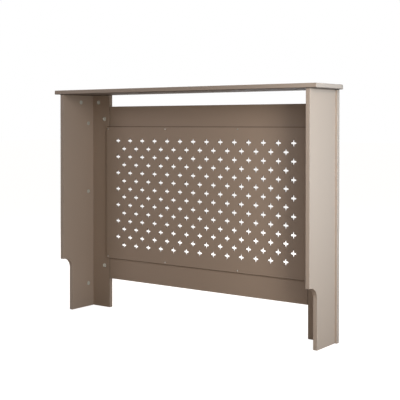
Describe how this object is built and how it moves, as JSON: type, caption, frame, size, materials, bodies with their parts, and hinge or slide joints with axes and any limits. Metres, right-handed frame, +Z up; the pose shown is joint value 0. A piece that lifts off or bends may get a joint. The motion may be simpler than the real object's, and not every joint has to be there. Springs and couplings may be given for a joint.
{
  "type": "radiator cover cabinet",
  "caption": "Freestanding cabinet that covers a wall radiator: a shelf on two end boards and a front frame with a cross-perforated panel, held together by cam locks.",
  "frame": {"origin": "on the floor, in the middle of the top shelf's length and depth", "axes": "+Z up, the front frame faces -Y, the wall is on the +Y side, +X runs along the shelf to the end on the right of someone who faces the front"},
  "size_m": [1.12, 0.19, 0.831],
  "materials": {
    "painted_board": "satin",
    "cam_zinc": "satin",
    "fitting_steel": "satin",
    "dowel_beech": "matt"
  },
  "bodies": {
    "cabinet": {"top_shelf": "painted_board", "side_panel_left": "painted_board", "side_panel_right": "painted_board", "front_post_left": "painted_board", "front_post_right": "painted_board", "top_rail": "painted_board", "bottom_rail": "painted_board", "grille_panel": "painted_board", "bolt_left_side_to_shelf": "fitting_steel", "bolt_left_side_to_post_high": "fitting_steel", "bolt_left_side_to_post_middle": "fitting_steel", "bolt_left_side_to_post_low": "fitting_steel", "bolt_left_post_to_shelf": "fitting_steel", "bolt_left_post_to_top_rail": "fitting_steel", "bolt_left_post_to_bottom_rail": "fitting_steel", "bolt_right_side_to_shelf": "fitting_steel", "bolt_right_side_to_post_high": "fitting_steel", "bolt_right_side_to_post_middle": "fitting_steel", "bolt_right_side_to_post_low": "fitting_steel", "bolt_right_post_to_shelf": "fitting_steel", "bolt_right_post_to_top_rail": "fitting_steel", "bolt_right_post_to_bottom_rail": "fitting_steel", "dowel_left_side_to_shelf": "dowel_beech", "dowel_left_side_to_post_middle_above": "dowel_beech", "dowel_left_side_to_post_middle_below": "dowel_beech", "dowel_left_post_to_shelf": "dowel_beech", "dowel_left_post_to_top_rail": "dowel_beech", "dowel_left_post_to_bottom_rail": "dowel_beech", "dowel_right_side_to_shelf": "dowel_beech", "dowel_right_side_to_post_middle_above": "dowel_beech", "dowel_right_side_to_post_middle_below": "dowel_beech", "dowel_right_post_to_shelf": "dowel_beech", "dowel_right_post_to_top_rail": "dowel_beech", "dowel_right_post_to_bottom_rail": "dowel_beech", "panel_screw_top_left_outer": "fitting_steel", "panel_screw_top_left_inner": "fitting_steel", "panel_screw_top_right_inner": "fitting_steel", "panel_screw_top_right_outer": "fitting_steel", "panel_screw_bottom_left_outer": "fitting_steel", "panel_screw_bottom_left_inner": "fitting_steel", "panel_screw_bottom_right_inner": "fitting_steel", "panel_screw_bottom_right_outer": "fitting_steel"},
    "cam_left_side_to_shelf": {"cam_left_side_to_shelf": "cam_zinc"},
    "cam_left_side_to_post_high": {"cam_left_side_to_post_high": "cam_zinc"},
    "cam_left_side_to_post_middle": {"cam_left_side_to_post_middle": "cam_zinc"},
    "cam_left_side_to_post_low": {"cam_left_side_to_post_low": "cam_zinc"},
    "cam_left_post_to_shelf": {"cam_left_post_to_shelf": "cam_zinc"},
    "cam_left_post_to_top_rail": {"cam_left_post_to_top_rail": "cam_zinc"},
    "cam_left_post_to_bottom_rail": {"cam_left_post_to_bottom_rail": "cam_zinc"},
    "cam_right_side_to_shelf": {"cam_right_side_to_shelf": "cam_zinc"},
    "cam_right_side_to_post_high": {"cam_right_side_to_post_high": "cam_zinc"},
    "cam_right_side_to_post_middle": {"cam_right_side_to_post_middle": "cam_zinc"},
    "cam_right_side_to_post_low": {"cam_right_side_to_post_low": "cam_zinc"},
    "cam_right_post_to_shelf": {"cam_right_post_to_shelf": "cam_zinc"},
    "cam_right_post_to_top_rail": {"cam_right_post_to_top_rail": "cam_zinc"},
    "cam_right_post_to_bottom_rail": {"cam_right_post_to_bottom_rail": "cam_zinc"}
  },
  "joints": [
    {"name": "turn_left_side_to_shelf", "type": "hinge", "parent": "cabinet", "child": "cam_left_side_to_shelf", "pos_m": [-0.52, -0.007, 0.788], "axis": [1, 0, 0], "range_deg": [0, 180]},
    {"name": "turn_left_side_to_post_high", "type": "hinge", "parent": "cabinet", "child": "cam_left_side_to_post_high", "pos_m": [-0.52, -0.047, 0.708], "axis": [1, 0, 0], "range_deg": [0, 180]},
    {"name": "turn_left_side_to_post_middle", "type": "hinge", "parent": "cabinet", "child": "cam_left_side_to_post_middle", "pos_m": [-0.52, -0.047, 0.445], "axis": [1, 0, 0], "range_deg": [0, 180]},
    {"name": "turn_left_side_to_post_low", "type": "hinge", "parent": "cabinet", "child": "cam_left_side_to_post_low", "pos_m": [-0.52, -0.047, 0.089], "axis": [1, 0, 0], "range_deg": [0, 180]},
    {"name": "turn_left_post_to_shelf", "type": "hinge", "parent": "cabinet", "child": "cam_left_post_to_shelf", "pos_m": [-0.494, -0.075, 0.788], "axis": [0, 1, 0], "range_deg": [0, 180]},
    {"name": "turn_left_post_to_top_rail", "type": "hinge", "parent": "cabinet", "child": "cam_left_post_to_top_rail", "pos_m": [-0.463, -0.075, 0.7245], "axis": [0, 1, 0], "range_deg": [0, 180]},
    {"name": "turn_left_post_to_bottom_rail", "type": "hinge", "parent": "cabinet", "child": "cam_left_post_to_bottom_rail", "pos_m": [-0.463, -0.075, 0.1595], "axis": [0, 1, 0], "range_deg": [0, 180]},
    {"name": "turn_right_side_to_shelf", "type": "hinge", "parent": "cabinet", "child": "cam_right_side_to_shelf", "pos_m": [0.52, -0.007, 0.788], "axis": [-1, 0, 0], "range_deg": [0, 180]},
    {"name": "turn_right_side_to_post_high", "type": "hinge", "parent": "cabinet", "child": "cam_right_side_to_post_high", "pos_m": [0.52, -0.047, 0.708], "axis": [-1, 0, 0], "range_deg": [0, 180]},
    {"name": "turn_right_side_to_post_middle", "type": "hinge", "parent": "cabinet", "child": "cam_right_side_to_post_middle", "pos_m": [0.52, -0.047, 0.445], "axis": [-1, 0, 0], "range_deg": [0, 180]},
    {"name": "turn_right_side_to_post_low", "type": "hinge", "parent": "cabinet", "child": "cam_right_side_to_post_low", "pos_m": [0.52, -0.047, 0.089], "axis": [-1, 0, 0], "range_deg": [0, 180]},
    {"name": "turn_right_post_to_shelf", "type": "hinge", "parent": "cabinet", "child": "cam_right_post_to_shelf", "pos_m": [0.494, -0.075, 0.788], "axis": [0, 1, 0], "range_deg": [0, 180]},
    {"name": "turn_right_post_to_top_rail", "type": "hinge", "parent": "cabinet", "child": "cam_right_post_to_top_rail", "pos_m": [0.463, -0.075, 0.7245], "axis": [0, 1, 0], "range_deg": [0, 180]},
    {"name": "turn_right_post_to_bottom_rail", "type": "hinge", "parent": "cabinet", "child": "cam_right_post_to_bottom_rail", "pos_m": [0.463, -0.075, 0.1595], "axis": [0, 1, 0], "range_deg": [0, 180]}
  ]
}
